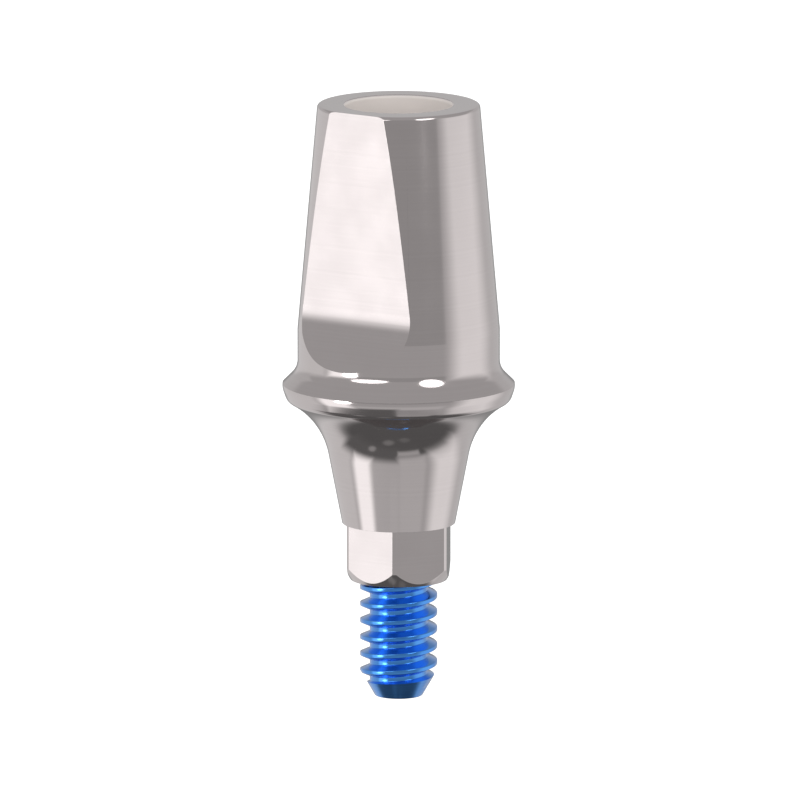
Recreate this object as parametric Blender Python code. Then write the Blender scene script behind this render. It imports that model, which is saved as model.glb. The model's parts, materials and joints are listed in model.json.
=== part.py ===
"""A straight titanium abutment for a dental crown, with its retaining screw.

The abutment is one turned and milled piece: a hollow tapered post with a flat
that keeps the crown from turning, a sloping shoulder and collar for the gum, a
flared neck, a locking cone and a hexagon that goes into the implant.  The screw
drops down the channel in the post, seats inside and comes out below the hexagon.

The axis is +Z.  The origin is on the axis at the lower rim of the cone, and the
flat of the post faces -Y.  All sizes are in metres.
"""

import math

import bmesh
import bpy
from mathutils import Matrix, Vector

# Thread of the screw, an ISO metric form with a right-hand turn
THREAD_DIAMETER = 0.0016
THREAD_PITCH = 0.00035
THREAD_FLANK_ANGLE_DEG = 30.0
THREAD_CREST_SHARE = 1 / 8
THREAD_ROOT_SHARE = 1 / 6
THREAD_START_DEG = 28.0
THREAD_COVER = 0.00034
THREAD_LEAD_IN = 0.00012
NECK_RELIEF = 0.000035
SCREW_PROTRUSION = 0.00245
TIP_DIAMETER = 0.00098
TIP_ANGLE_DEG = 30.0

# Head of the screw and its hexagon socket
SEAT_WIDTH = 0.00019
HEAD_HEIGHT = 0.0020
HEAD_CHAMFER = 0.0001
SOCKET_ACROSS_FLATS = 0.00125
SOCKET_DEPTH = 0.0012
SOCKET_RELIEF = 0.00001
SOCKET_MOUTH_MARGIN = 0.00003
DRILL_OVERRUN = 0.00015
DRILL_POINT_ANGLE_DEG = 31.0

# Clearances between the screw and the abutment
THREAD_CLEARANCE = 0.00005
HEAD_CLEARANCE = 0.00006
SEAT_GAP = 0.00002

# Hexagon and locking cone that sit in the implant
HEX_WALL = 0.000185
HEX_LENGTH = 0.00119
HEX_CORNER_RISE = 0.000135
HEX_CHAMFER_WIDTH = 0.00017
HEX_CHAMFER_ANGLE_DEG = 30.0
CONE_ANGLE_DEG = 11.0
SEAT_HEIGHT = 0.0017

# Hollow post, its straight land and the shoulder below it
RIM_WALL = 0.000579
RIM_ROUNDING = 0.00007
CHANNEL_MOUTH_ROUNDING = 0.00007
POST_HEIGHT = 0.00553
POST_TAPER_DEG = 5.0
LAND_HEIGHT = 0.000833
SHOULDER_WIDTH = 0.000323
SHOULDER_ANGLE_DEG = 45.0
SHOULDER_FILLET = 0.00045

# Collar and the flared neck below it
COLLAR_EDGE_HEIGHT = 0.002918
COLLAR_EDGE_ROUNDING = 0.0001
BAND_HEIGHT = 0.000326
BAND_SLOPE_DEG = 16.3
HEEL_ROUNDING = 0.0002
UNDERSIDE_ANGLE_DEG = 60.0
FLARE_RADIUS = 0.00164

# Milled flat of the post, which ends below in a round run-out
FLAT_DEPTH_AT_RIM = 0.000136
FLAT_RUNOUT_RADIUS = 0.00165
FLAT_FOOT_HEIGHT = 0.00016

# Fineness of the faceted shapes
TURNING_STEPS = 60
HEAD_STEPS = 48
THREAD_STEPS_PER_TURN = 30
ARC_STEP_DEG = 11.0
RUNOUT_STEPS = 16
SHARP_EDGE_DEG = 28.0
MERGE_DISTANCE = 0.0000001
CUT_MARGIN = 0.0005
THREAD_CUT_MARGIN = 0.00002

# Finishes: base colour and roughness
TITANIUM = (0.60, 0.575, 0.57, 1.0)
TITANIUM_ROUGHNESS = 0.28
BLUE_ANODISED = (0.015, 0.11, 0.62, 1.0)
BLUE_ROUGHNESS = 0.22


def slope(angle_deg):
    """Return how far a line moves sideways for each unit that it climbs."""
    return math.tan(math.radians(angle_deg))


# Radii, built up from the thread outwards
THREAD_RADIUS = THREAD_DIAMETER / 2
THREAD_FLANK_SHARE = 1 - THREAD_CREST_SHARE - THREAD_ROOT_SHARE
THREAD_DEPTH = THREAD_PITCH * THREAD_FLANK_SHARE / 2 / slope(THREAD_FLANK_ANGLE_DEG)
THREAD_ROOT_RADIUS = THREAD_RADIUS - THREAD_DEPTH
SCREW_HOLE_RADIUS = THREAD_RADIUS + THREAD_CLEARANCE
HEX_FLAT_RADIUS = SCREW_HOLE_RADIUS + HEX_WALL
CONE_BASE_RADIUS = HEX_FLAT_RADIUS + HEX_CORNER_RISE
HEAD_RADIUS = SCREW_HOLE_RADIUS + SEAT_WIDTH
CHANNEL_RADIUS = HEAD_RADIUS + HEAD_CLEARANCE
RIM_RADIUS = CHANNEL_RADIUS + RIM_WALL
LAND_RADIUS = RIM_RADIUS + (POST_HEIGHT - LAND_HEIGHT) * slope(POST_TAPER_DEG)
COLLAR_RADIUS = LAND_RADIUS + SHOULDER_WIDTH
FLAT_DISTANCE = RIM_RADIUS - FLAT_DEPTH_AT_RIM

# Heights above the origin
SHOULDER_ROOT = COLLAR_EDGE_HEIGHT + SHOULDER_WIDTH / slope(SHOULDER_ANGLE_DEG)
LAND_TOP = SHOULDER_ROOT + LAND_HEIGHT
RIM = SHOULDER_ROOT + POST_HEIGHT
SCREW_SEAT = SEAT_HEIGHT + SEAT_GAP

# Heights above the underside of the screw's head
SCREW_TIP = -SCREW_SEAT - HEX_LENGTH - SCREW_PROTRUSION
THREAD_TOP = -SCREW_SEAT - HEX_LENGTH + THREAD_COVER


def fitted_roundings(corners):
    """Return the corners' roundings, made smaller where a straight is too short for them."""
    roundings = [corner[2] for corner in corners]
    last = len(corners) - 1
    for index in range(last):
        start = Vector(corners[index][:2])
        end = Vector(corners[index + 1][:2])
        taken = 0
        for place in (index, index + 1):
            if 0 < place < last:
                taken += roundings[place] * math.tan(corner_turn(corners, place) / 2)
        length = (end - start).length
        if taken > length:
            roundings[index] *= length / taken
            roundings[index + 1] *= length / taken
    return roundings


def corner_turn(corners, index):
    """Return the angle by which an outline turns at one of its corners."""
    before, here, after = (Vector(corner[:2]) for corner in corners[index - 1:index + 2])
    return (here - before).angle(after - here)


def arc_points(before, corner, after, radius):
    """Return the points of the arc that rounds a corner of an outline."""
    here = Vector(corner)
    to_before = (Vector(before) - here).normalized()
    to_after = (Vector(after) - here).normalized()
    opening = to_before.angle(to_after)
    centre = here + (to_before + to_after).normalized() * radius / math.sin(opening / 2)
    first = here + to_before * radius / math.tan(opening / 2) - centre
    last = here + to_after * radius / math.tan(opening / 2) - centre
    turn = first.angle_signed(last)
    steps = max(2, round(math.degrees(abs(turn)) / ARC_STEP_DEG))
    points = []
    for step in range(steps + 1):
        around = Matrix.Rotation(-turn * step / steps, 2)
        points.append(tuple(centre + around @ first))
    return points


def rounded_outline(corners):
    """Return an outline's (radius, height) points with its corners rounded.

    Each corner is (radius, height, rounding), and a rounding of 0 is a sharp one.
    """
    roundings = fitted_roundings(corners)
    points = []
    for index, (radius, height, _) in enumerate(corners):
        if roundings[index]:
            before = corners[index - 1][:2]
            after = corners[index + 1][:2]
            points.extend(arc_points(before, (radius, height), after, roundings[index]))
        else:
            points.append((radius, height))
    return points


def abutment_outline():
    """Return the closed section of the turned abutment, outside and channel."""
    chamfer_height = HEX_CHAMFER_WIDTH / slope(HEX_CHAMFER_ANGLE_DEG)
    heel_radius = COLLAR_RADIUS - BAND_HEIGHT * slope(BAND_SLOPE_DEG)
    heel_height = COLLAR_EDGE_HEIGHT - BAND_HEIGHT
    underside = slope(UNDERSIDE_ANGLE_DEG)
    cone = slope(CONE_ANGLE_DEG)
    flare_height = (CONE_BASE_RADIUS - heel_radius + heel_height * underside) / (underside - cone)
    flare_radius = CONE_BASE_RADIUS + flare_height * cone
    return rounded_outline([
        (CONE_BASE_RADIUS - HEX_CHAMFER_WIDTH, -HEX_LENGTH, 0),
        (CONE_BASE_RADIUS, -HEX_LENGTH + chamfer_height, 0),
        (CONE_BASE_RADIUS, 0, 0),
        (flare_radius, flare_height, FLARE_RADIUS),
        (heel_radius, heel_height, HEEL_ROUNDING),
        (COLLAR_RADIUS, COLLAR_EDGE_HEIGHT, COLLAR_EDGE_ROUNDING),
        (LAND_RADIUS, SHOULDER_ROOT, SHOULDER_FILLET),
        (LAND_RADIUS, LAND_TOP, 0),
        (RIM_RADIUS, RIM, RIM_ROUNDING),
        (CHANNEL_RADIUS, RIM, CHANNEL_MOUTH_ROUNDING),
        (CHANNEL_RADIUS, SEAT_HEIGHT, 0),
        (SCREW_HOLE_RADIUS, SEAT_HEIGHT, 0),
        (SCREW_HOLE_RADIUS, -HEX_LENGTH, 0),
    ])


def screw_outline():
    """Return the section of the screw before its thread and socket are cut.

    Heights are from the underside of the head, and both ends lie on the axis.
    """
    tip_radius = TIP_DIAMETER / 2
    neck_radius = THREAD_ROOT_RADIUS - NECK_RELIEF
    lead_in_start = THREAD_TOP - THREAD_LEAD_IN
    drill_radius = SOCKET_ACROSS_FLATS / 2 - SOCKET_RELIEF
    drill_floor = HEAD_HEIGHT - SOCKET_DEPTH - DRILL_OVERRUN
    mouth_radius = SOCKET_ACROSS_FLATS / math.sqrt(3) + SOCKET_MOUTH_MARGIN
    return [
        (0, SCREW_TIP),
        (tip_radius, SCREW_TIP),
        (THREAD_RADIUS, SCREW_TIP + (THREAD_RADIUS - tip_radius) / slope(TIP_ANGLE_DEG)),
        (THREAD_RADIUS, lead_in_start),
        (neck_radius, lead_in_start + THREAD_RADIUS - neck_radius),
        (neck_radius, 0),
        (HEAD_RADIUS, 0),
        (HEAD_RADIUS, HEAD_HEIGHT - HEAD_CHAMFER),
        (HEAD_RADIUS - HEAD_CHAMFER, HEAD_HEIGHT),
        (mouth_radius, HEAD_HEIGHT),
        (drill_radius, HEAD_HEIGHT - mouth_radius + drill_radius),
        (drill_radius, drill_floor),
        (0, drill_floor - drill_radius * slope(DRILL_POINT_ANGLE_DEG)),
    ]


def finish_mesh(bm, name):
    """Merge doubled vertices, turn the faces outwards and return the mesh."""
    bmesh.ops.remove_doubles(bm, verts=bm.verts, dist=MERGE_DISTANCE)
    bmesh.ops.recalc_face_normals(bm, faces=bm.faces)
    mesh = bpy.data.meshes.new(name)
    bm.to_mesh(mesh)
    bm.free()
    return mesh


def turned_mesh(name, outline, steps, hollow):
    """Return the solid that an outline in the XZ plane sweeps about the axis."""
    bm = bmesh.new()
    verts = [bm.verts.new((radius, 0, height)) for radius, height in outline]
    edges = [bm.edges.new(ends) for ends in zip(verts, verts[1:])]
    if hollow:
        edges.append(bm.edges.new((verts[-1], verts[0])))
    bmesh.ops.spin(
        bm,
        geom=verts + edges,
        cent=(0, 0, 0),
        axis=(0, 0, 1),
        angle=math.tau,
        steps=steps,
        use_merge=True,
    )
    return finish_mesh(bm, name)


def hexagon(bm, across_flats, height):
    """Return six vertices of a hexagon with two of its flats facing +Y and -Y."""
    corner = Vector((across_flats / math.sqrt(3), 0, height))
    return [bm.verts.new(Matrix.Rotation(math.radians(60 * turn), 3, "Z") @ corner) for turn in range(6)]


def hexagon_ring_mesh(name):
    """Return the tool that mills the flats of the abutment's hexagon."""
    bottom = -HEX_LENGTH - CUT_MARGIN
    bm = bmesh.new()
    inner = hexagon(bm, 2 * HEX_FLAT_RADIUS, bottom)
    outer = hexagon(bm, 2 * CONE_BASE_RADIUS + CUT_MARGIN, bottom)
    faces = []
    for index in range(6):
        following = (index + 1) % 6
        faces.append(bm.faces.new((inner[index], inner[following], outer[following], outer[index])))
    raised = bmesh.ops.extrude_face_region(bm, geom=faces, use_keep_orig=True)
    tops = [item for item in raised["geom"] if isinstance(item, bmesh.types.BMVert)]
    bmesh.ops.translate(bm, verts=tops, vec=(0, 0, -bottom))
    return finish_mesh(bm, name)


def hexagon_prism_mesh(name, across_flats, bottom, top):
    """Return a solid hexagonal prism."""
    bm = bmesh.new()
    face = bm.faces.new(hexagon(bm, across_flats, bottom))
    raised = bmesh.ops.extrude_face_region(bm, geom=[face], use_keep_orig=True)
    tops = [item for item in raised["geom"] if isinstance(item, bmesh.types.BMVert)]
    bmesh.ops.translate(bm, verts=tops, vec=(0, 0, top - bottom))
    return finish_mesh(bm, name)


def flat_cutter_mesh(name):
    """Return the tool that mills the post's flat and leaves the run-out below it."""
    centre_distance = FLAT_DISTANCE + FLAT_RUNOUT_RADIUS
    drop = math.sqrt(FLAT_RUNOUT_RADIUS ** 2 - (centre_distance - LAND_RADIUS) ** 2)
    centre_height = SHOULDER_ROOT + FLAT_FOOT_HEIGHT + drop
    top = RIM + CUT_MARGIN
    outline = [(-FLAT_DISTANCE, top)]
    for step in range(RUNOUT_STEPS + 1):
        angle = math.pi / 2 * step / RUNOUT_STEPS
        across = -centre_distance + FLAT_RUNOUT_RADIUS * math.cos(angle)
        outline.append((across, centre_height - FLAT_RUNOUT_RADIUS * math.sin(angle)))
    outline.append((-centre_distance, top))
    bm = bmesh.new()
    face = bm.faces.new([bm.verts.new((-COLLAR_RADIUS, y, z)) for y, z in outline])
    widened = bmesh.ops.extrude_face_region(bm, geom=[face], use_keep_orig=True)
    far_side = [item for item in widened["geom"] if isinstance(item, bmesh.types.BMVert)]
    bmesh.ops.translate(bm, verts=far_side, vec=(2 * COLLAR_RADIUS, 0, 0))
    return finish_mesh(bm, name)


def thread_groove_mesh(name):
    """Return the helical tool that cuts the groove between the thread's turns.

    It starts a turn below the tip and ends a turn above the thread, in free air.
    """
    mouth_radius = THREAD_RADIUS + THREAD_CUT_MARGIN
    outer_radius = mouth_radius + THREAD_CUT_MARGIN
    root_half = THREAD_PITCH * THREAD_ROOT_SHARE / 2
    mouth_half = root_half + (mouth_radius - THREAD_ROOT_RADIUS) * slope(THREAD_FLANK_ANGLE_DEG)
    crest = SCREW_TIP - THREAD_PITCH * THREAD_START_DEG / 360
    middle = crest - THREAD_PITCH / 2
    turns = math.ceil((THREAD_TOP + THREAD_PITCH - middle) / THREAD_PITCH)
    section = [
        (THREAD_ROOT_RADIUS, middle - root_half),
        (mouth_radius, middle - mouth_half),
        (outer_radius, middle - mouth_half),
        (outer_radius, middle + mouth_half),
        (mouth_radius, middle + mouth_half),
        (THREAD_ROOT_RADIUS, middle + root_half),
    ]
    bm = bmesh.new()
    face = bm.faces.new([bm.verts.new((radius, 0, height)) for radius, height in section])
    bmesh.ops.spin(
        bm,
        geom=[face],
        cent=(0, 0, 0),
        axis=(0, 0, 1),
        dvec=(0, 0, THREAD_PITCH / THREAD_STEPS_PER_TURN),
        angle=math.tau * turns,
        steps=THREAD_STEPS_PER_TURN * turns,
    )
    return finish_mesh(bm, name)


def metal(name, colour, roughness):
    """Return a metal material."""
    material = bpy.data.materials.new(name)
    material.use_nodes = True
    shader = material.node_tree.nodes["Principled BSDF"]
    shader.inputs["Base Color"].default_value = colour
    shader.inputs["Metallic"].default_value = 1.0
    shader.inputs["Roughness"].default_value = roughness
    return material


def add_object(name, mesh, parent):
    """Add a mesh to the scene as an object under its parent and return it."""
    piece = bpy.data.objects.new(name, mesh)
    piece.parent = parent
    bpy.context.scene.collection.objects.link(piece)
    return piece


def cut(piece, tool):
    """Cut a tool's shape out of a piece, and keep the tool as a wire guide."""
    tool.hide_render = True
    tool.display_type = "WIRE"
    boolean = piece.modifiers.new(tool.name, "BOOLEAN")
    boolean.operation = "DIFFERENCE"
    boolean.solver = "EXACT"
    boolean.object = tool


def shade(mesh):
    """Shade the round faces smooth and keep the edges between them sharp."""
    mesh.shade_smooth()
    mesh.set_sharp_from_angle(angle=math.radians(SHARP_EDGE_DEG))


def build_abutment(axis):
    """Build the abutment: turn it, mill the flat and mill the hexagon."""
    mesh = turned_mesh("abutment_body", abutment_outline(), TURNING_STEPS, hollow=True)
    shade(mesh)
    mesh.materials.append(metal("titanium", TITANIUM, TITANIUM_ROUGHNESS))
    body = add_object("abutment_body", mesh, axis)
    cut(body, add_object("flat_cutter", flat_cutter_mesh("flat_cutter"), axis))
    cut(body, add_object("hexagon_cutter", hexagon_ring_mesh("hexagon_cutter"), axis))
    return body


def build_screw(axis):
    """Build the screw: turn it, cut its thread and broach its socket.

    Its origin is on the axis, under its head, where it seats.
    """
    mesh = turned_mesh("retaining_screw", screw_outline(), HEAD_STEPS, hollow=False)
    shade(mesh)
    mesh.materials.append(metal("blue_anodised_titanium", BLUE_ANODISED, BLUE_ROUGHNESS))
    seat = (0, 0, SCREW_SEAT)
    screw = add_object("retaining_screw", mesh, axis)
    screw.location = seat
    groove = add_object("thread_cutter", thread_groove_mesh("thread_cutter"), axis)
    groove.location = seat
    cut(screw, groove)
    floor = HEAD_HEIGHT - SOCKET_DEPTH
    socket = hexagon_prism_mesh("socket_cutter", SOCKET_ACROSS_FLATS, floor, HEAD_HEIGHT + CUT_MARGIN)
    broach = add_object("socket_cutter", socket, axis)
    broach.location = seat
    cut(screw, broach)
    return screw


def main():
    """Empty the scene and build the abutment and its screw on one axis."""
    for old in list(bpy.data.objects):
        bpy.data.objects.remove(old, do_unlink=True)
    axis = bpy.data.objects.new("implant_axis", None)
    bpy.context.scene.collection.objects.link(axis)
    build_abutment(axis)
    build_screw(axis)


main()
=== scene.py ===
"""Models and finishes a straight titanium abutment for a dental crown, with its blue screw.

The abutment is turned, its post is milled flat on one side and its end is milled to a
hexagon.  The screw seats inside and its thread comes out below the hexagon.  The axis is
+Z, the origin is at the lower rim of the locking cone, and all sizes are in metres.
"""

import json
import math

import bmesh
import bpy
from mathutils import Matrix, Vector


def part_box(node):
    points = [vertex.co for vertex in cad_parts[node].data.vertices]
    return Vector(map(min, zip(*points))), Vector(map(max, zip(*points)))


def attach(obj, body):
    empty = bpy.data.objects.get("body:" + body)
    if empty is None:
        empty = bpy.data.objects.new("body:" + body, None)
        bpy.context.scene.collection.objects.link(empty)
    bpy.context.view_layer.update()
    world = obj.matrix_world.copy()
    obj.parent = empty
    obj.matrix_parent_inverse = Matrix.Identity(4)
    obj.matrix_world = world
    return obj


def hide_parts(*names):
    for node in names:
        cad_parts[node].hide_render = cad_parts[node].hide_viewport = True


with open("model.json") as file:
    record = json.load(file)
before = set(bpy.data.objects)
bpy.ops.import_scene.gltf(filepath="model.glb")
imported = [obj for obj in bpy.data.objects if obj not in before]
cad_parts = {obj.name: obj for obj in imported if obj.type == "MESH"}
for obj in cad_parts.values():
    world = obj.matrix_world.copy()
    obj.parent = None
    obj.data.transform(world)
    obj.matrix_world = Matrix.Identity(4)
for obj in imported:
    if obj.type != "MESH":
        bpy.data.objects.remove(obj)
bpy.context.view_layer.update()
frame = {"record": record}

bl_info = {
    "name": "Dental abutment",
    "version": (1, 0, 0),
    "blender": (4, 5, 0),
    "location": "View3D > Sidebar > Dental",
    "description": "Turns, mills and finishes a dental abutment with its retaining screw",
    "category": "Object",
}

BODY_LOW, BODY_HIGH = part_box("abutment_body")
SCREW_LOW, SCREW_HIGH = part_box("retaining_screw")
MOUNTS = {mount["name"]: Vector(mount["pos_m"]) for mount in frame["record"]["mounts"]}

# No facet of a rounding is shorter than this, in metres.
FINEST_FACET = 0.000007

# Vertices closer than this are merged, in metres.
MERGE_DISTANCE = 0.0000001

# Faces that meet at more than this angle keep a sharp edge between them.
SHARPEST_SMOOTH_EDGE = math.radians(35)

# Most of the values that a Noise Texture gives lie between these.
NOISE_SPREAD = (0.3, 0.7)

# Directions in the studio are in degrees, seen from the object: a turn from the camera to the
# camera's right, and a rise above level.  At a brightness of 1 a mirror shows white.

# Each lamp: name, turn, rise, (width, height) in degrees, roll in degrees, brightness.
LAMPS = (
    ("left_lamp", -34.0, 15.5, (42.0, 17.0), 0.0, 1.9),
    ("right_lamp", 39.0, 25.5, (26.0, 40.0), -20.0, 1.9),
    ("key_lamp", -57.0, -6.5, (18.0, 16.0), 0.0, 3.5),
)

# Brightness of the tent's lower and upper part, and the rises between which the two meet.
TENT_LOW = 0.1
TENT_HIGH = 0.4
TENT_MEETING = (-52.0, -42.0)

# Each panel, laid over those before it: name, turn, rise, (width, height) in degrees, width of
# its soft border in degrees, brightness.
TENT_PANELS = (
    ("left wall", -130.0, -20.0, (80.0, 56.0), 20.0, 0.65),
    ("right wall", 140.0, -20.0, (60.0, 56.0), 20.0, 0.55),
    ("gap behind", 180.0, -20.0, (30.0, 46.0), 20.0, 0.25),
    ("upper back", 180.0, 15.0, (120.0, 20.0), 8.0, 0.5),
    ("front", 0.0, 5.0, (110.0, 20.0), 4.0, 0.33),
    ("low front", 0.0, -34.0, (100.0, 20.0), 12.0, 0.5),
    ("dark table", -58.0, -50.0, (110.0, 22.0), 16.0, 0.12),
    ("sheet on it", 20.0, -52.0, (44.0, 8.0), 6.0, 0.4),
    ("right card", 92.0, -18.0, (54.0, 54.0), 30.0, 0.85),
    ("left card", -69.0, -17.0, (34.0, 42.0), 14.0, 1.2),
)

# Each spot: turn, rise, reach from its middle in degrees, brightness.
TENT_SPOTS = ((-30.0, -71.0, 7.0, 0.20), (22.0, -77.0, 6.0, 0.15), (-57.0, -55.0, 6.0, 0.30))


def length(name, description, default):
    """Return a property for a length in metres."""
    return bpy.props.FloatProperty(
        name=name,
        description=description,
        default=default,
        min=0.0,
        precision=6,
        subtype="DISTANCE",
        unit="LENGTH",
    )


def height(name, description, default):
    """Return a property for a height above the origin, in metres."""
    return bpy.props.FloatProperty(
        name=name,
        description=description,
        default=default,
        precision=6,
        subtype="DISTANCE",
        unit="LENGTH",
    )


def angle(name, description, default_deg):
    """Return a property for an angle, whose default is given in degrees."""
    return bpy.props.FloatProperty(
        name=name,
        description=description,
        default=math.radians(default_deg),
        subtype="ANGLE",
        unit="ROTATION",
    )


def count(name, description, default):
    """Return a property for a number of steps."""
    return bpy.props.IntProperty(name=name, description=description, default=default, min=3)


def part_of(name, description, default):
    """Return a property for a part of a whole."""
    return bpy.props.FloatProperty(
        name=name, description=description, default=default, min=0.0, max=1.0, subtype="FACTOR"
    )


class AbutmentSizes(bpy.types.PropertyGroup):
    """Sizes of the turned and milled abutment."""

    turning_steps: count("Turning steps", "Facets round the axis", 256)
    arc_step: angle("Arc step", "Turn of each facet of a rounding", 1.7)
    edge_break: length("Edge break", "Rounding of an edge that was only deburred", 0.00002)
    milled_break: length("Milled edge break", "Width of the rounding on the milled edges", 0.0000025)
    rim_height: height("Rim", "Height of the post's rim", BODY_HIGH.z)
    rim_radius: length("Rim radius", "Radius of the post at its rim, before rounding", 0.001679)
    rim_rounding: length("Rim rounding", "Rounding of the post's outer rim", 0.00007)
    channel_rounding: length("Channel rounding", "Rounding of the channel's mouth", 0.00007)
    matt_reach: length("Matt reach", "How far the channel's matt finish runs up that rounding", 0.000052)
    post_taper: angle("Post taper", "Slope of the post's side from upright", 5.0)
    land_height: length("Land height", "Height of the straight land below the taper", 0.000833)
    shoulder_height: height("Shoulder root", "Height where the shoulder meets the land", 0.003241)
    shoulder_width: length("Shoulder width", "How far the shoulder stands out", 0.000323)
    shoulder_slope: angle("Shoulder slope", "Slope of the shoulder from upright", 45.0)
    shoulder_fillet: length("Shoulder fillet", "Radius between land and shoulder", 0.00045)
    collar_setback: length("Collar setback", "How far the collar's edge stays up the shoulder", 0.000017)
    collar_lip: length("Collar lip", "Height of the steep lip below that edge", 0.000075)
    lip_slope: angle("Lip slope", "Outward slope of the lip from upright", 6.0)
    collar_bow: length("Collar bow", "Rounding between the lip and the band", 0.00035)
    band_height: length("Band height", "Height of the band below the collar's edge", 0.000326)
    band_slope: angle("Band slope", "Inward slope of the band", 16.3)
    heel_rounding: length("Heel rounding", "Rounding below the band", 0.0002)
    underside_slope: angle("Underside slope", "Slope of the underside from upright", 60.0)
    flare_radius: length("Flare radius", "Radius of the trumpet-shaped flare", 0.00164)
    cone_slope: angle("Cone slope", "Slope of the locking cone from upright", 11.0)
    cone_radius: length("Cone radius", "Radius of the cone at its lower rim", 0.00117)
    hexagon_end: height("Hexagon end", "Height of the hexagon's free end", BODY_LOW.z)
    chamfer_width: length("Chamfer width", "Width of the turned chamfer on the hexagon", 0.00017)
    chamfer_slope: angle("Chamfer slope", "Slope of that chamfer from upright", 30.0)
    hexagon_reach: length("Hexagon reach", "From the axis to a flat of the hexagon", -MOUNTS["hex_flat"].y)
    channel_radius: length("Channel radius", "Radius of the screw channel", 0.0011)
    seat_height: height("Seat height", "Height of the step that the screw's head sits on", 0.0017)
    hole_radius: length("Hole radius", "Radius of the hole below the seat", 0.00085)
    flat_reach: length("Flat reach", "From the axis to the milled flat", -MOUNTS["crown_flat"].y)
    flat_runout: length("Flat run-out", "Radius that the milling tool leaves below the flat", 0.00165)
    flat_foot: length("Flat foot", "Height of the run-out's foot above the shoulder", 0.00021)
    runout_steps: count("Run-out steps", "Facets of the run-out", 40)


class ScrewSizes(bpy.types.PropertyGroup):
    """Sizes of the retaining screw."""

    thread_steps: count("Thread steps", "Facets in each turn of the thread", 120)
    arc_step: angle("Arc step", "Turn of each facet of a rounding", 12.0)
    edge_break: length("Edge break", "Rounding of an edge that was only deburred", 0.000015)
    pitch: length("Pitch", "Height of one turn of the thread", 0.00035)
    thread_radius: length("Thread radius", "Radius of the thread's crest", 0.0008)
    flank_slope: angle("Flank slope", "Slope of the thread's flank from level", 24.0)
    crest_share: part_of("Crest share", "Part of the pitch that the crest takes", 0.23)
    root_share: part_of("Root share", "Part of the pitch that the root takes", 0.26)
    crest_rounding: length("Crest rounding", "Rounding of the crest's edges", 0.000015)
    root_rounding: length("Root rounding", "Rounding in the thread's root", 0.000012)
    thread_start: angle("Thread start", "Direction in which the crest passes the tip", 28.0)
    thread_top: height("Thread top", "Height where the thread runs out into the neck", -0.00085)
    lead_in: length("Lead-in", "Straight run at the top of the thread", 0.00012)
    neck_radius: length("Neck radius", "Radius of the plain neck", 0.0005503)
    neck_joint: height("Neck joint", "Height in the neck where head and thread are joined", -0.0003)
    tip_height: height("Tip", "Height of the screw's end face", SCREW_LOW.z)
    tip_radius: length("Tip radius", "Radius of the end face", 0.00049)
    tip_slope: angle("Tip slope", "Slope of the tip's cone from upright", 30.0)
    tip_rounding: length("Tip rounding", "Rounding round the end face", 0.00004)
    head_radius: length("Head radius", "Radius of the head", SCREW_HIGH.x)
    head_seat: height("Head seat", "Height of the underside of the head", 0.00172)
    head_top: height("Head top", "Height of the head's top", SCREW_HIGH.z)
    head_chamfer: length("Head chamfer", "Chamfer round the head's top", 0.0001)
    socket_flats: length("Socket", "Width of the socket across its flats", 0.00125)
    socket_depth: length("Socket depth", "Depth of the socket's flats", 0.0012)
    socket_margin: length("Socket margin", "How far the mouth clears the socket's corners", 0.00003)
    drill_relief: length("Drill relief", "How far the drilled hole stays inside the flats", 0.00001)
    drill_overrun: length("Drill overrun", "Depth of the drilled hole past the flats", 0.00015)
    drill_point: angle("Drill point", "Slope of the drill's point from level", 31.0)


def in_order(items):
    """Return each of the items once, in the order in which they first come.

    A set's order changes from run to run, and with it the vertex that a merge keeps.
    """
    return list(dict.fromkeys(items))


def joined(bm, verts):
    """Join vertices in a chain of edges."""
    for start, end in zip(verts, verts[1:]):
        bm.edges.new((start, end))


def arc(bm, before, corner, after, radius, step):
    """Draw the arc that rounds a corner of a section in the XZ plane, and return its ends.

    One vertex on the side before the corner is spun about the arc's centre.
    """
    to_before = (before - corner).normalized()
    to_after = (after - corner).normalized()
    opening = to_before.angle(to_after)
    centre = corner + (to_before + to_after).normalized() * radius / math.sin(opening / 2)
    setback = radius / math.tan(opening / 2)
    first = bm.verts.new(corner + to_before * setback)
    turn = math.pi - opening
    facets = min(round(turn / step), round(turn * radius / FINEST_FACET))
    side = math.copysign(1.0, to_before.cross(to_after).y)
    swept = bmesh.ops.spin(
        bm,
        geom=[first],
        cent=centre,
        axis=(0, -side, 0),
        angle=turn,
        steps=max(2, facets),
    )
    last = next(item for item in swept["geom_last"] if isinstance(item, bmesh.types.BMVert))
    return first, last


def draw_section(bm, corners, step, closed=False):
    """Draw a section in the XZ plane from corners of (radius, height, rounding)."""
    places = [Vector((radius, 0, z)) for radius, z, _ in corners]
    chain = []
    for index, place in enumerate(places):
        rounding = corners[index][2]
        if rounding:
            before = places[index - 1]
            after = places[(index + 1) % len(places)]
            chain.append(arc(bm, before, place, after, rounding, step))
        else:
            vert = bm.verts.new(place)
            chain.append((vert, vert))
    for (_, end), (start, _) in zip(chain, chain[1:]):
        bm.edges.new((end, start))
    if closed:
        bm.edges.new((chain[-1][1], chain[0][0]))


def turn_section(bm, steps):
    """Spin everything drawn so far about the axis."""
    bmesh.ops.spin(
        bm,
        geom=bm.verts[:] + bm.edges[:],
        cent=(0, 0, 0),
        axis=(0, 0, 1),
        angle=math.tau,
        steps=steps,
        use_merge=True,
    )


def tidy(bm):
    """Merge doubled vertices and turn all faces outwards."""
    bmesh.ops.remove_doubles(bm, verts=bm.verts, dist=MERGE_DISTANCE)
    bmesh.ops.recalc_face_normals(bm, faces=bm.faces)


def raised_prism(bm, faces, rise):
    """Extrude faces into a closed solid."""
    raised = bmesh.ops.extrude_face_region(bm, geom=faces, use_keep_orig=True)
    tops = [item for item in raised["geom"] if isinstance(item, bmesh.types.BMVert)]
    bmesh.ops.translate(bm, verts=tops, vec=rise)
    tidy(bm)


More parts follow.
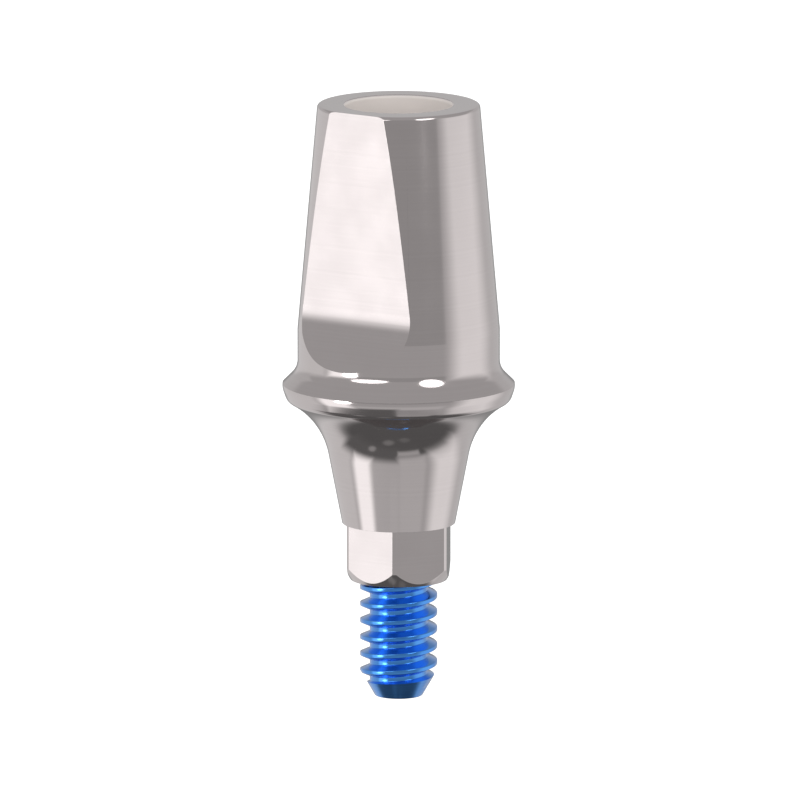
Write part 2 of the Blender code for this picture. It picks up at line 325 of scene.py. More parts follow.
def hexagon_loop(bm, reach, z):
    """Draw a level hexagon with two of its sides facing +Y and -Y, and return its edges."""
    half_side = math.radians(30)
    corner_radius = reach / math.cos(half_side)
    place = Matrix.Translation((0, 0, z)) @ Matrix.Rotation(half_side, 4, "Z")
    drawn = bmesh.ops.create_circle(bm, segments=6, radius=corner_radius, matrix=place)
    return in_order(edge for vert in drawn["verts"] for edge in vert.link_edges)


def mesh_object(name, bm):
    """Turn a bmesh into an object at the origin and return it."""
    mesh = bpy.data.meshes.new(name)
    bm.to_mesh(mesh)
    bm.free()
    made = bpy.data.objects.new(name, mesh)
    bpy.context.scene.collection.objects.link(made)
    return made


def sort_by(elements, key):
    """Put the vertices, edges or faces of a bmesh in the order of a key."""
    for rank, element in enumerate(sorted(elements, key=key)):
        element.index = rank
    elements.sort()


def put_in_order(bm):
    """Sort a bmesh by place, because a Boolean's result comes in another order in each run."""
    sort_by(bm.verts, key=lambda vert: vert.co[:])
    sort_by(bm.edges, key=lambda edge: sorted(vert.index for vert in edge.verts))
    sort_by(bm.faces, key=lambda face: sorted(vert.index for vert in face.verts))


def combined(piece_bm, tool_bm, operation):
    """Return a bmesh of a piece after a Boolean with a tool, whose faces get material 1."""
    for face in tool_bm.faces:
        face.material_index = 1
    piece = mesh_object("blank", piece_bm)
    tool = mesh_object("tool", tool_bm)
    for _ in range(2):
        piece.data.materials.append(None)
        tool.data.materials.append(None)
    boolean = piece.modifiers.new("cut", "BOOLEAN")
    boolean.operation = operation
    boolean.solver = "EXACT"
    boolean.object = tool
    bpy.context.view_layer.update()
    done = piece.evaluated_get(bpy.context.evaluated_depsgraph_get()).to_mesh()
    result = bmesh.new()
    result.from_mesh(done)
    put_in_order(result)
    for used in (piece, tool):
        mesh = used.data
        bpy.data.objects.remove(used)
        bpy.data.meshes.remove(mesh)
    return result


def milled_edges(bm):
    """Return the edges between the turned faces and the milled ones."""
    return [edge for edge in bm.edges if len({face.material_index for face in edge.link_faces}) == 2]


def break_milled_edges(bm, width, runout_top, segments=3):
    """Round the edges that a milling tool left, but keep those of the flat's run-out sharp.

    The shortest stretches are merged first.  The run-out's edges are the milled ones between
    the origin and the height of the run-out's top.
    """
    shortest = width * 0.9
    verts = in_order(vert for edge in milled_edges(bm) for vert in edge.verts)
    bmesh.ops.remove_doubles(bm, verts=verts, dist=shortest)
    broken = []
    for edge in milled_edges(bm):
        if all(0 < vert.co.z < runout_top + width for vert in edge.verts):
            edge.smooth = False
        else:
            broken.append(edge)
    rounding = bmesh.ops.bevel(
        bm,
        geom=broken,
        offset=width,
        offset_type="OFFSET",
        segments=segments,
        profile=0.5,
        affect="EDGES",
        clamp_overlap=False,
        material=-1,
    )
    rounded = set(rounding["faces"])
    for edge in {edge for face in rounded for edge in face.edges}:
        if len(rounded.intersection(edge.link_faces)) == 1:
            edge.smooth = False


def mark_milled(bm):
    """Note in an attribute which faces were milled, and give all faces the first material."""
    milled = bm.faces.layers.float.new("milled")
    for face in bm.faces:
        face[milled] = float(face.material_index == 1)
        face.material_index = 0


def finished_piece(name, bm, body, node):
    """Make the finished piece from its bmesh, and let it stand for its node in the frame."""
    open_edges = [edge for edge in bm.edges if not edge.is_manifold]
    if open_edges:
        raise RuntimeError(f"{name} isn't closed: {len(open_edges)} edges are open")
    for face in bm.faces:
        face.smooth = True
    for edge in bm.edges:
        if edge.calc_face_angle() > SHARPEST_SMOOTH_EDGE:
            edge.smooth = False
    piece = mesh_object(name, bm)
    weighted = piece.modifiers.new("even shading", "WEIGHTED_NORMAL")
    weighted.keep_sharp = True
    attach(piece, body)
    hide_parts(node)
    return piece


def land(sizes):
    """Return the radius of the straight land below the post's taper, and the height of its top."""
    top = sizes.shoulder_height + sizes.land_height
    return sizes.rim_radius + (sizes.rim_height - top) * math.tan(sizes.post_taper), top


def abutment_section(sizes):
    """Return the corners of the abutment's section, outside and channel."""
    edge = sizes.edge_break
    cone = math.tan(sizes.cone_slope)
    underside = math.tan(sizes.underside_slope)
    land_radius, land_top = land(sizes)
    collar_radius = land_radius + sizes.shoulder_width
    collar_height = sizes.shoulder_height - sizes.shoulder_width / math.tan(sizes.shoulder_slope)
    heel_radius = collar_radius - sizes.band_height * math.tan(sizes.band_slope)
    heel_height = collar_height - sizes.band_height
    flare_height = (sizes.cone_radius - heel_radius + heel_height * underside) / (underside - cone)
    chamfer_rise = sizes.chamfer_width / math.tan(sizes.chamfer_slope)
    edge_radius = collar_radius - sizes.collar_setback * math.sin(sizes.shoulder_slope)
    edge_height = collar_height + sizes.collar_setback * math.cos(sizes.shoulder_slope)
    lip_radius = edge_radius + sizes.collar_lip * math.tan(sizes.lip_slope)
    return [
        (sizes.cone_radius - sizes.chamfer_width, sizes.hexagon_end, edge),
        (sizes.cone_radius, sizes.hexagon_end + chamfer_rise, edge),
        (sizes.cone_radius, 0, edge),
        (sizes.cone_radius + flare_height * cone, flare_height, sizes.flare_radius),
        (heel_radius, heel_height, sizes.heel_rounding),
        (lip_radius, edge_height - sizes.collar_lip, sizes.collar_bow),
        (edge_radius, edge_height, 0),
        (land_radius, sizes.shoulder_height, sizes.shoulder_fillet),
        (land_radius, land_top, edge),
        (sizes.rim_radius, sizes.rim_height, sizes.rim_rounding),
        (sizes.channel_radius, sizes.rim_height, sizes.channel_rounding),
        (sizes.channel_radius, sizes.seat_height, edge),
        (sizes.hole_radius, sizes.seat_height, edge),
        (sizes.hole_radius, sizes.hexagon_end, edge),
    ]


def runout_centre(sizes):
    """Return the reach from the axis and the height of the centre of the run-out's curve.

    The curve meets the flat at that height.
    """
    reach = sizes.flat_reach + sizes.flat_runout
    drop = math.sqrt(sizes.flat_runout ** 2 - (reach - land(sizes)[0]) ** 2)
    return reach, sizes.shoulder_height + sizes.flat_foot + drop


def flat_tool(sizes):
    """Return the tool that mills the post's flat and its round run-out."""
    half_width = 2 * land(sizes)[0]
    centre_reach, centre_height = runout_centre(sizes)
    centre = Vector((-half_width, -centre_reach, centre_height))
    bm = bmesh.new()
    start = bm.verts.new(centre + Vector((0, sizes.flat_runout, 0)))
    bmesh.ops.spin(
        bm,
        geom=[start],
        cent=centre,
        axis=(-1, 0, 0),
        angle=math.pi / 2,
        steps=sizes.runout_steps,
    )
    foot = min(bm.verts, key=lambda vert: vert.co.z)
    top = sizes.rim_height + sizes.land_height
    outer = bm.verts.new((centre.x, -centre_reach, top))
    inner = bm.verts.new((centre.x, -sizes.flat_reach, top))
    joined(bm, [foot, outer, inner, start])
    side = bmesh.ops.contextual_create(bm, geom=bm.edges[:])["faces"]
    raised_prism(bm, side, (2 * half_width, 0, 0))
    return bm


def hexagon_tool(sizes):
    """Return the ring-shaped tool that mills the hexagon."""
    margin = sizes.chamfer_width
    bottom = sizes.hexagon_end - margin
    bm = bmesh.new()
    inner = hexagon_loop(bm, sizes.hexagon_reach, bottom)
    outer = hexagon_loop(bm, sizes.cone_radius + margin, bottom)
    ring = bmesh.ops.bridge_loops(bm, edges=inner + outer)["faces"]
    raised_prism(bm, ring, (0, 0, -bottom))
    return bm


def socket_tool(sizes):
    """Return the tool that broaches the screw's hexagon socket."""
    bm = bmesh.new()
    loop = hexagon_loop(bm, sizes.socket_flats / 2, sizes.head_top - sizes.socket_depth)
    floor = bmesh.ops.contextual_create(bm, geom=loop)["faces"]
    raised_prism(bm, floor, (0, 0, sizes.socket_depth + sizes.head_chamfer))
    return bm


class DENTAL_OT_abutment(bpy.types.Operator):
    """Turn the abutment, mill its flat and its hexagon, and round the milled edges"""

    bl_idname = "dental.abutment"
    bl_label = "Titanium abutment"

    def execute(self, context):
        sizes = context.scene.abutment_sizes
        bm = bmesh.new()
        draw_section(bm, abutment_section(sizes), sizes.arc_step, closed=True)
        turn_section(bm, sizes.turning_steps)
        tidy(bm)
        bm = combined(bm, flat_tool(sizes), "DIFFERENCE")
        bm = combined(bm, hexagon_tool(sizes), "DIFFERENCE")
        break_milled_edges(bm, sizes.milled_break, runout_centre(sizes)[1])
        mark_milled(bm)
        piece = finished_piece("titanium_abutment", bm, "abutment", "abutment_body")
        piece.data.materials.append(titanium(sizes))
        return {"FINISHED"}


def thread_section(sizes):
    """Return the corners of one turn of the thread, from root to root."""
    depth = sizes.pitch * (1 - sizes.crest_share - sizes.root_share) / 2 / math.tan(sizes.flank_slope)
    root_radius = sizes.thread_radius - depth
    crest = sizes.tip_height - sizes.pitch * (1 + sizes.thread_start / math.tau)
    crest_half = sizes.pitch * sizes.crest_share / 2
    root_half = sizes.pitch * sizes.root_share / 2
    start = crest - sizes.pitch / 2
    end = crest + sizes.pitch / 2
    return [
        (root_radius, start, 0),
        (root_radius, start + root_half, sizes.root_rounding),
        (sizes.thread_radius, crest - crest_half, sizes.crest_rounding),
        (sizes.thread_radius, crest + crest_half, sizes.crest_rounding),
        (root_radius, end - root_half, sizes.root_rounding),
        (root_radius, end, 0),
    ]


def close_rod_end(bm, rim):
    """Draw the rim of a rod's open end in to a point on the axis."""
    heights = [vert.co.z for edge in rim for vert in edge.verts]
    drawn_in = bmesh.ops.extrude_edge_only(bm, edges=rim)["geom"]
    ends = [item for item in drawn_in if isinstance(item, bmesh.types.BMVert)]
    bmesh.ops.pointmerge(bm, verts=ends, merge_co=(0, 0, (min(heights) + max(heights)) / 2))


def threaded_rod(sizes, top, spare_turns=3):
    """Return a rod with the thread all along it, closed at both ends, that reaches past a height."""
    bm = bmesh.new()
    draw_section(bm, thread_section(sizes), sizes.arc_step)
    turns = math.ceil((top - sizes.tip_height) / sizes.pitch) + spare_turns
    bmesh.ops.spin(
        bm,
        geom=bm.verts[:] + bm.edges[:],
        cent=(0, 0, 0),
        axis=(0, 0, 1),
        dvec=(0, 0, sizes.pitch / sizes.thread_steps),
        angle=math.tau,
        steps=sizes.thread_steps,
    )
    one_turn = bm.verts[:] + bm.edges[:] + bm.faces[:]
    for turn in range(1, turns):
        copied = bmesh.ops.duplicate(bm, geom=one_turn)["geom"]
        copies = [item for item in copied if isinstance(item, bmesh.types.BMVert)]
        bmesh.ops.translate(bm, verts=copies, vec=(0, 0, sizes.pitch * turn))
    bmesh.ops.remove_doubles(bm, verts=bm.verts, dist=MERGE_DISTANCE)
    middle = (sizes.tip_height + top) / 2
    rims = [edge for edge in bm.edges if edge.is_boundary]
    lower = [edge for edge in rims if edge.verts[0].co.z < middle]
    upper = [edge for edge in rims if edge.verts[0].co.z > middle]
    close_rod_end(bm, lower)
    close_rod_end(bm, upper)
    tidy(bm)
    return bm


def thread_envelope(sizes):
    """Return the turned shape that the threaded rod is cut down to: tip, thread and neck."""
    clear_radius = sizes.thread_radius + sizes.edge_break
    cone_rise = (clear_radius - sizes.tip_radius) / math.tan(sizes.tip_slope)
    lead_in_start = sizes.thread_top - sizes.lead_in
    bm = bmesh.new()
    draw_section(
        bm,
        [
            (0, sizes.tip_height, 0),
            (sizes.tip_radius, sizes.tip_height, sizes.tip_rounding),
            (clear_radius, sizes.tip_height + cone_rise, 0),
            (clear_radius, lead_in_start, 0),
            (sizes.neck_radius, lead_in_start + clear_radius - sizes.neck_radius, 0),
            (sizes.neck_radius, sizes.neck_joint, 0),
            (0, sizes.neck_joint, 0),
        ],
        sizes.arc_step,
    )
    turn_section(bm, sizes.thread_steps)
    tidy(bm)
    return bm


def add_head(bm, sizes):
    """Turn the neck and the head onto the open end of the threaded part."""
    edge = sizes.edge_break
    mouth_radius = sizes.socket_flats / math.sqrt(3) + sizes.socket_margin
    drill_radius = sizes.socket_flats / 2 - sizes.drill_relief
    drill_floor = sizes.head_top - sizes.socket_depth - sizes.drill_overrun
    head = bmesh.new()
    draw_section(
        head,
        [
            (sizes.neck_radius, sizes.neck_joint, 0),
            (sizes.neck_radius, sizes.head_seat, edge),
            (sizes.head_radius, sizes.head_seat, edge),
            (sizes.head_radius, sizes.head_top - sizes.head_chamfer, edge),
            (sizes.head_radius - sizes.head_chamfer, sizes.head_top, edge),
            (mouth_radius, sizes.head_top, edge),
            (drill_radius, sizes.head_top - mouth_radius + drill_radius, edge),
            (drill_radius, drill_floor, edge),
            (0, drill_floor - drill_radius * math.tan(sizes.drill_point), 0),
        ],
        sizes.arc_step,
    )
    turn_section(head, sizes.thread_steps)
    mesh = bpy.data.meshes.new("head")
    head.to_mesh(mesh)
    head.free()
    bm.from_mesh(mesh)
    bpy.data.meshes.remove(mesh)


class DENTAL_OT_screw(bpy.types.Operator):
    """Cut the screw's thread and tip, turn its head and broach its socket"""

    bl_idname = "dental.screw"
    bl_label = "Blue retaining screw"

    def execute(self, context):
        sizes = context.scene.screw_sizes
        bm = combined(threaded_rod(sizes, sizes.neck_joint), thread_envelope(sizes), "INTERSECT")
        near = sizes.edge_break / 10
        lid = [
            face
            for face in bm.faces
            if all(abs(vert.co.z - sizes.neck_joint) < near for vert in face.verts)
        ]
        bmesh.ops.delete(bm, geom=lid, context="FACES")
        add_head(bm, sizes)
        tidy(bm)
        bm = combined(bm, socket_tool(sizes), "DIFFERENCE")
        mark_milled(bm)
        piece = finished_piece(
            "blue_retaining_screw", bm, "screw", "retaining_screw"
        )
        piece.data.materials.append(blue_anodised())
        return {"FINISHED"}


def feed(tree, socket, value):
    """Link a socket to a node's output, or set it to a plain value."""
    if isinstance(value, bpy.types.NodeSocket):
        tree.links.new(value, socket)
    else:
        socket.default_value = value


def calculate(tree, operation, *values):
    """Add a Math node and return its output."""
    node = tree.nodes.new("ShaderNodeMath")
    node.operation = operation
    for socket, value in zip(node.inputs, values):
        feed(tree, socket, value)
    return node.outputs["Value"]


def blend(tree, share, first, second):
    """Add a Mix node for two values and return its output."""
    node = tree.nodes.new("ShaderNodeMix")
    node.data_type = "FLOAT"
    feed(tree, node.inputs["Factor"], share)
    feed(tree, node.inputs["A"], first)
    feed(tree, node.inputs["B"], second)
    return node.outputs["Result"]


def blend_colours(tree, share, first, second):
    """Add a Mix node for two colours and return its output."""
    node = tree.nodes.new("ShaderNodeMix")
    node.data_type = "RGBA"
    sockets = {socket.identifier: socket for socket in (*node.inputs, *node.outputs)}
    feed(tree, sockets["Factor_Float"], share)
    feed(tree, sockets["A_Color"], first)
    feed(tree, sockets["B_Color"], second)
    return sockets["Result_Color"]


def parts_of(tree, vector):
    """Split a vector and return its X, Y and Z outputs."""
    node = tree.nodes.new("ShaderNodeSeparateXYZ")
    feed(tree, node.inputs["Vector"], vector)
    return node.outputs


def axis_distance(tree, place):
    """Return the distance from the axis of a place that is given by its X, Y and Z outputs."""
    squared = calculate(tree, "MULTIPLY", place["X"], place["X"])
    squared = calculate(tree, "MULTIPLY_ADD", place["Y"], place["Y"], squared)
    return calculate(tree, "SQRT", squared)


def ramp_up(tree, value, low, high, first=0.0, second=1.0):
    """Add a smooth step from a first to a second value, between a low and a high input."""
    node = tree.nodes.new("ShaderNodeMapRange")
    node.interpolation_type = "SMOOTHSTEP"
    feed(tree, node.inputs["Value"], value)
    feed(tree, node.inputs["From Min"], low)
    feed(tree, node.inputs["From Max"], high)
    feed(tree, node.inputs["To Min"], first)
    feed(tree, node.inputs["To Max"], second)
    return node.outputs["Result"]


def noise(tree, place, scale, detail, dimensions="3D"):
    """Add a Noise Texture on a place, or along a distance in 1D, and return its value."""
    node = tree.nodes.new("ShaderNodeTexNoise")
    node.noise_dimensions = dimensions
    feed(tree, node.inputs["W" if dimensions == "1D" else "Vector"], place)
    feed(tree, node.inputs["Scale"], scale)
    feed(tree, node.inputs["Detail"], detail)
    return node.outputs["Fac"]


def stretched(tree, place, stretch):
    """Scale a place along its axes and return it."""
    node = tree.nodes.new("ShaderNodeVectorMath")
    node.operation = "MULTIPLY"
    feed(tree, node.inputs[0], place)
    node.inputs[1].default_value = stretch
    return node.outputs["Vector"]


def machining_marks():
    """Return the node group that draws the marks of turning and milling.

    Turned faces get rings round the axis, and milled faces, which carry the attribute
    "milled", get level lines.  Both come out as a height, and handling as patches.
    """
    name = "machining marks"
    if name in bpy.data.node_groups:
        return bpy.data.node_groups[name]
    group = bpy.data.node_groups.new(name, "ShaderNodeTree")
    sockets = group.interface
    for label, default in (("Ring width", 0.00003), ("Line width", 0.00002), ("Patch width", 0.0006)):
        sockets.new_socket(label, in_out="INPUT", socket_type="NodeSocketFloat").default_value = default
    for label in ("Height", "Rings", "Patches"):
        sockets.new_socket(label, in_out="OUTPUT", socket_type="NodeSocketFloat")
    given = group.nodes.new("NodeGroupInput").outputs
    wanted = group.nodes.new("NodeGroupOutput").inputs
    coordinate = group.nodes.new("ShaderNodeTexCoord").outputs
    place = parts_of(group, coordinate["Object"])
    upright = calculate(group, "ABSOLUTE", parts_of(group, coordinate["Normal"])["Z"])
    level = ramp_up(group, upright, low=0.8, high=0.9)
    along = blend(group, level, place["Z"], axis_distance(group, place))
    rings = noise(group, calculate(group, "DIVIDE", along, given["Ring width"]), 1.0, 2.0, "1D")
    per_line = calculate(group, "DIVIDE", 1.0, given["Line width"])
    drawn_out = stretched(group, coordinate["Object"], stretch=(0.03, 0.03, 1))
    lines = noise(group, drawn_out, per_line, 2.0)
    milled = group.nodes.new("ShaderNodeAttribute")
    milled.attribute_name = "milled"
    per_patch = calculate(group, "DIVIDE", 1.0, given["Patch width"])
    patches = noise(group, coordinate["Object"], per_patch, 4.0)
    feed(group, wanted["Height"], blend(group, milled.outputs["Fac"], rings, lines))
    feed(group, wanted["Rings"], rings)
    feed(group, wanted["Patches"], patches)
    return group


def metal(name, marks, tones, roughness, relief, ring_share=0.4):
    """Return a metal's material and its shader.

    Marks are the widths for the group, tones the darker and the lighter colour,
    roughness the smoother and the rougher value, and relief the height of the marks.
    The share says how much of the change in tone follows the rings, and not the patches.
    """
    material = bpy.data.materials.new(name)
    material.use_nodes = True
    tree = material.node_tree
    shader = tree.nodes["Principled BSDF"]
    shader.inputs["Metallic"].default_value = 1.0
    group = tree.nodes.new("ShaderNodeGroup")
    group.node_tree = machining_marks()
    for label, value in marks.items():
        group.inputs[label].default_value = value
    shade = blend(tree, ring_share, group.outputs["Patches"], group.outputs["Rings"])
    tone = blend_colours(tree, ramp_up(tree, shade, *NOISE_SPREAD), *tones)
    feed(tree, shader.inputs["Base Color"], tone)
    wear = ramp_up(tree, group.outputs["Patches"], *NOISE_SPREAD, *roughness)
    feed(tree, shader.inputs["Roughness"], wear)
    bump = tree.nodes.new("ShaderNodeBump")
    bump.inputs["Strength"].default_value = 1.0
    bump.inputs["Distance"].default_value = relief
    feed(tree, bump.inputs["Height"], group.outputs["Height"])
    feed(tree, shader.inputs["Normal"], bump.outputs["Normal"])
    return material, shader


def titanium(sizes, matt_roughness=0.6, matt_tone=(0.71, 0.66, 0.63, 1)):
    """Return the polished titanium's material, which is left matt in the screw channel."""
    material, shader = metal(
        "polished_titanium",
        marks={"Ring width": 0.00006, "Line width": 0.00004, "Patch width": 0.0008},
        tones=((0.725, 0.667, 0.664, 1), (0.75, 0.692, 0.689, 1)),
        roughness=(0.08, 0.11),
        relief=0.00000004,
    )
    tree = material.node_tree
    place = parts_of(tree, tree.nodes.new("ShaderNodeTexCoord").outputs["Object"])
    radius = axis_distance(tree, place)
    outside = ramp_up(tree, radius, sizes.channel_radius, sizes.channel_radius + sizes.matt_reach)
    above = calculate(tree, "GREATER_THAN", place["Z"], sizes.seat_height)
    matt = calculate(tree, "MULTIPLY", calculate(tree, "SUBTRACT", 1.0, outside), above)
    feed(tree, shader.inputs["Metallic"], calculate(tree, "SUBTRACT", 1.0, matt))
    worn = shader.inputs["Roughness"].links[0].from_socket
    feed(tree, shader.inputs["Roughness"], blend(tree, matt, worn, matt_roughness))
    polished = shader.inputs["Base Color"].links[0].from_socket
    feed(tree, shader.inputs["Base Color"], blend_colours(tree, matt, polished, matt_tone))
    return material


def blue_anodised():
    """Return the blue screw's material, whose oxide layer shines like a clear coat."""
    material, shader = metal(
        "blue_anodised_titanium",
        marks={"Ring width": 0.00003, "Line width": 0.00003, "Patch width": 0.0004},
        tones=((0.05, 0.32, 0.93, 1), (0.08, 0.38, 0.99, 1)),
        roughness=(0.17, 0.22),
        relief=0.00000002,
    )
    shader.inputs["Coat Weight"].default_value = 1.0
    shader.inputs["Coat Roughness"].default_value = 0.15
    return material


class StudioSettings(bpy.types.PropertyGroup):
    """Camera, floor and light."""

    view_azimuth: angle("View azimuth", "Direction of the camera round the axis", 34.4)
    view_elevation: angle("View elevation", "Height of the camera above the horizon", 10.5)
    view_height: height("View height", "Height on the axis at the middle of the picture", 0.002566)
    view_aside: height("View aside", "Shift of the picture's middle to the right of the axis", 0.000027)
    view_width: length("View width", "Width of the picture at the axis", 0.01653)
    lens: bpy.props.FloatProperty(name="Lens", description="Focal length in millimetres", default=1000.0)
    tent_radius: length("Tent radius", "Radius of the light tent round the object", 0.35)
    lamp_distance: length("Lamp distance", "From the object to the lamps", 0.3)
    floor_depth: length("Floor depth", "Depth of the floor below the origin", 0.02)
    round_steps: count("Round steps", "Facets round the tent and the floor", 96)


def show_either(tree, share, first, second):
    """Let a material show one shader where a share is 0, and another where it is 1."""
    node = tree.nodes.new("ShaderNodeMixShader")
    for socket, value in zip(node.inputs, (share, first, second)):
        feed(tree, socket, value)
    feed(tree, tree.nodes["Material Output"].inputs["Surface"], node.outputs["Shader"])


def panel_shade(tree, turn, rise, panel, shade):
    """Hang a soft panel over the shade that the tent has so far, and return the new shade."""
    name, middle_turn, middle_rise, (width, tall), border, brightness = panel
    aside = calculate(tree, "WRAP", calculate(tree, "SUBTRACT", turn, middle_turn), 180.0, -180.0)
    aside = calculate(tree, "ABSOLUTE", aside)
    away = calculate(tree, "ABSOLUTE", calculate(tree, "SUBTRACT", rise, middle_rise))
    beside = ramp_up(tree, aside, (width - border) / 2, (width + border) / 2)
    beyond = ramp_up(tree, away, (tall - border) / 2, (tall + border) / 2)
    hung = blend(tree, calculate(tree, "MAXIMUM", beside, beyond), brightness, shade)
    hung.node.label = name
    return hung


def direction(turn, rise):
    """Return the direction at a turn to the camera's right and a rise, both in degrees."""
    turn, rise = math.radians(turn), math.radians(rise)
    return (math.sin(turn) * math.cos(rise), -math.cos(turn) * math.cos(rise), math.sin(rise))


def tent_cloth(camera_azimuth):
    """Return the material of the light tent: polished metal mirrors its soft panels.

    Matt surfaces get plain white light, most of it from above.
    """
    material = bpy.data.materials.new("tent_cloth")
    material.use_nodes = True
    tree = material.node_tree
    tree.nodes.remove(tree.nodes["Principled BSDF"])
    outward = tree.nodes.new("ShaderNodeVectorMath")
    outward.operation = "NORMALIZE"
    feed(tree, outward.inputs[0], tree.nodes.new("ShaderNodeTexCoord").outputs["Object"])
    turned = tree.nodes.new("ShaderNodeVectorRotate")
    turned.rotation_type = "Z_AXIS"
    feed(tree, turned.inputs["Vector"], outward.outputs["Vector"])
    turned.inputs["Angle"].default_value = -camera_azimuth
    place = parts_of(tree, turned.outputs["Vector"])
    depth = calculate(tree, "MULTIPLY", place["Y"], -1.0)
    turn = calculate(tree, "DEGREES", calculate(tree, "ARCTAN2", place["X"], depth))
    rise = calculate(tree, "DEGREES", calculate(tree, "ARCSINE", place["Z"]))
    shade = ramp_up(tree, rise, *TENT_MEETING, TENT_LOW, TENT_HIGH)
    for panel in TENT_PANELS:
        shade = panel_shade(tree, turn, rise, panel, shade)
    for spot_turn, spot_rise, reach, brightness in TENT_SPOTS:
        closeness = tree.nodes.new("ShaderNodeVectorMath")
        closeness.operation = "DOT_PRODUCT"
        feed(tree, closeness.inputs[0], turned.outputs["Vector"])
        closeness.inputs[1].default_value = direction(spot_turn, spot_rise)
        near = ramp_up(tree, closeness.outputs["Value"], math.cos(math.radians(reach)), 1.0)
        shade = blend(tree, near, shade, brightness)
    panels = tree.nodes.new("ShaderNodeEmission")
    feed(tree, panels.inputs["Strength"], shade)
    white = tree.nodes.new("ShaderNodeEmission")
    from_above = ramp_up(tree, place["Z"], low=-0.3, high=0.3, first=0.1, second=1.0)
    feed(tree, white.inputs["Strength"], from_above)
    matt = tree.nodes.new("ShaderNodeLightPath").outputs["Is Diffuse Ray"]
    show_either(tree, matt, panels.outputs["Emission"], white.outputs["Emission"])
    material.cycles.emission_sampling = "NONE"
    return material


def white_paper():
    """Return the floor's material, which is clear when it is seen from below."""
    material = bpy.data.materials.new("white_paper")
    material.use_nodes = True
    tree = material.node_tree
    shader = tree.nodes["Principled BSDF"]
    shader.inputs["Roughness"].default_value = 0.9
    shader.inputs["Base Color"].default_value = (0.95, 0.95, 0.95, 1)
    shader.inputs["Emission Color"].default_value = (1, 1, 1, 1)
    shader.inputs["Emission Strength"].default_value = 0.3
    clear = tree.nodes.new("ShaderNodeBsdfTransparent")
    from_below = tree.nodes.new("ShaderNodeNewGeometry").outputs["Backfacing"]
    show_either(tree, from_below, shader.outputs["BSDF"], clear.outputs["BSDF"])
    return material


def white_world(light=0.5):
    """Return a world that is white behind the object and grey as a light."""
    world = bpy.data.worlds.new("studio")
    world.use_nodes = True
    tree = world.node_tree
    seen = tree.nodes.new("ShaderNodeLightPath").outputs
    direct = calculate(tree, "MAXIMUM", seen["Is Camera Ray"], seen["Is Glossy Ray"])
    direct = calculate(tree, "MAXIMUM", direct, seen["Is Transmission Ray"])
    background = tree.nodes["Background"]
    background.inputs["Color"].default_value = (1, 1, 1, 1)
    feed(tree, background.inputs["Strength"], blend(tree, direct, light, 1.0))
    return world


def soft_lamp(name, studio, turn, rise, span, roll, brightness):
    """Hang an oval lamp in the tent, in a direction and of a span seen from the object."""
    lamp = bpy.data.lights.new(name, "AREA")
    lamp.shape = "ELLIPSE"
    lamp.size, lamp.size_y = (2 * studio.lamp_distance * math.tan(math.radians(side) / 2) for side in span)
    lamp.energy = brightness * math.pi * (math.pi / 4 * lamp.size * lamp.size_y)
    holder = bpy.data.objects.new(name, lamp)
    turned = Matrix.Rotation(studio.view_azimuth + math.radians(turn), 4, "Z")
    tilted = Matrix.Rotation(math.pi / 2 - math.radians(rise), 4, "X")
    rolled = Matrix.Rotation(math.radians(roll), 4, "Z")
    holder.matrix_world = turned @ tilted @ Matrix.Translation((0, 0, studio.lamp_distance)) @ rolled
    holder.visible_camera = False
    bpy.context.scene.collection.objects.link(holder)


def placed_camera(studio, clip_factor=100):
    """Place the camera at the photo's viewing angle and return its object."""
    camera = bpy.data.cameras.new("camera")
    camera.lens = studio.lens
    distance = studio.view_width * studio.lens / camera.sensor_width
    camera.clip_start = distance / clip_factor
    camera.clip_end = distance * clip_factor
    holder = bpy.data.objects.new("camera", camera)
    turned = Matrix.Rotation(studio.view_azimuth, 4, "Z")
    tilted = Matrix.Rotation(math.pi / 2 - studio.view_elevation, 4, "X")
    aim = Matrix.Translation((0, 0, studio.view_height))
    back = Matrix.Translation((studio.view_aside, 0, distance))
    holder.matrix_world = aim @ turned @ tilted @ back
    bpy.context.scene.collection.objects.link(holder)
    return holder


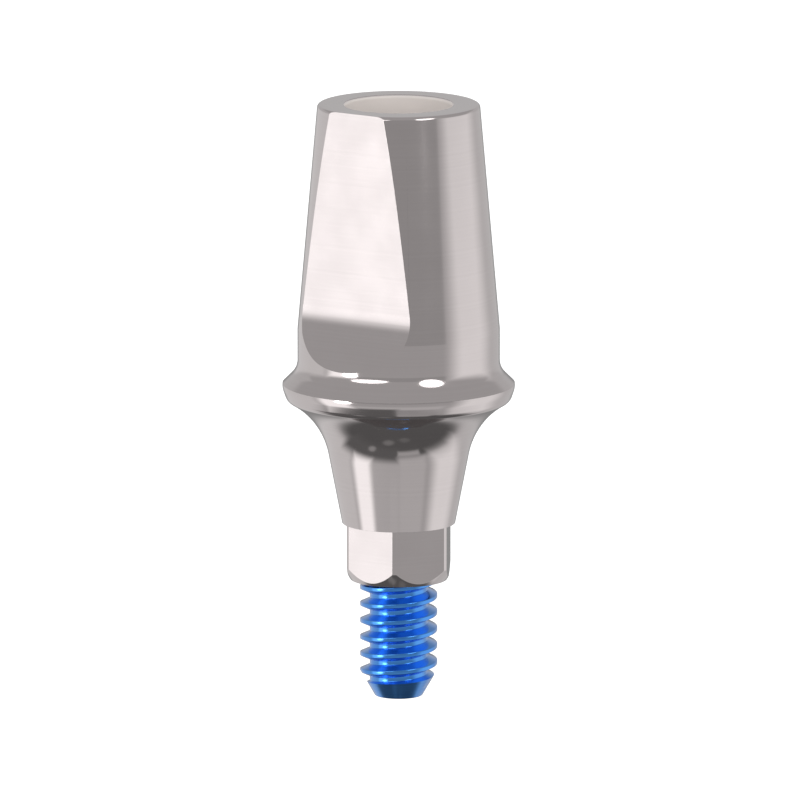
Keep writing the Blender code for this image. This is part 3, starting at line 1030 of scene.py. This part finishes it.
class DENTAL_OT_studio(bpy.types.Operator):
    """Place the camera, the tent, the floor and the lamps"""

    bl_idname = "dental.studio"
    bl_label = "Studio"

    def execute(self, context):
        studio = context.scene.studio_settings
        steps = studio.round_steps
        context.scene.camera = placed_camera(studio)
        context.scene.view_settings.view_transform = "Standard"
        context.scene.world = white_world()

        ball = bmesh.new()
        bmesh.ops.create_uvsphere(ball, u_segments=steps, v_segments=steps // 2, radius=studio.tent_radius)
        tent = mesh_object("light_tent", ball)
        tent.data.shade_smooth()
        tent.data.materials.append(tent_cloth(studio.view_azimuth))
        tent.visible_camera = False

        disc = bmesh.new()
        low = Matrix.Translation((0, 0, -studio.floor_depth))
        reach = studio.lamp_distance
        bmesh.ops.create_circle(disc, cap_ends=True, segments=steps, radius=reach, matrix=low)
        floor = mesh_object("floor", disc)
        floor.data.materials.append(white_paper())
        floor.visible_glossy = False
        floor.visible_diffuse = False
        floor.visible_shadow = False

        for name, turn, rise, span, roll, brightness in LAMPS:
            soft_lamp(name, studio, turn, rise, span, roll, brightness)
        return {"FINISHED"}


class DENTAL_PT_abutment(bpy.types.Panel):
    """Lists the operators in the sidebar"""

    bl_label = "Dental abutment"
    bl_idname = "DENTAL_PT_abutment"
    bl_space_type = "VIEW_3D"
    bl_region_type = "UI"
    bl_category = "Dental"

    def draw(self, context):
        for operator in (DENTAL_OT_abutment, DENTAL_OT_screw, DENTAL_OT_studio):
            self.layout.operator(operator.bl_idname)


SETTINGS = {
    "abutment_sizes": AbutmentSizes,
    "screw_sizes": ScrewSizes,
    "studio_settings": StudioSettings,
}
CLASSES = (*SETTINGS.values(), DENTAL_OT_abutment, DENTAL_OT_screw, DENTAL_OT_studio, DENTAL_PT_abutment)


def register():
    """Register the classes and keep the settings with the scene."""
    for cls in CLASSES:
        bpy.utils.register_class(cls)
    for name, group in SETTINGS.items():
        setattr(bpy.types.Scene, name, bpy.props.PointerProperty(type=group))


def unregister():
    """Undo what register did."""
    for name in SETTINGS:
        delattr(bpy.types.Scene, name)
    for cls in reversed(CLASSES):
        bpy.utils.unregister_class(cls)


def main():
    """Build every piece and the studio."""
    register()
    bpy.ops.dental.abutment()
    bpy.ops.dental.screw()
    bpy.ops.dental.studio()


if __name__ == "__main__":
    main()
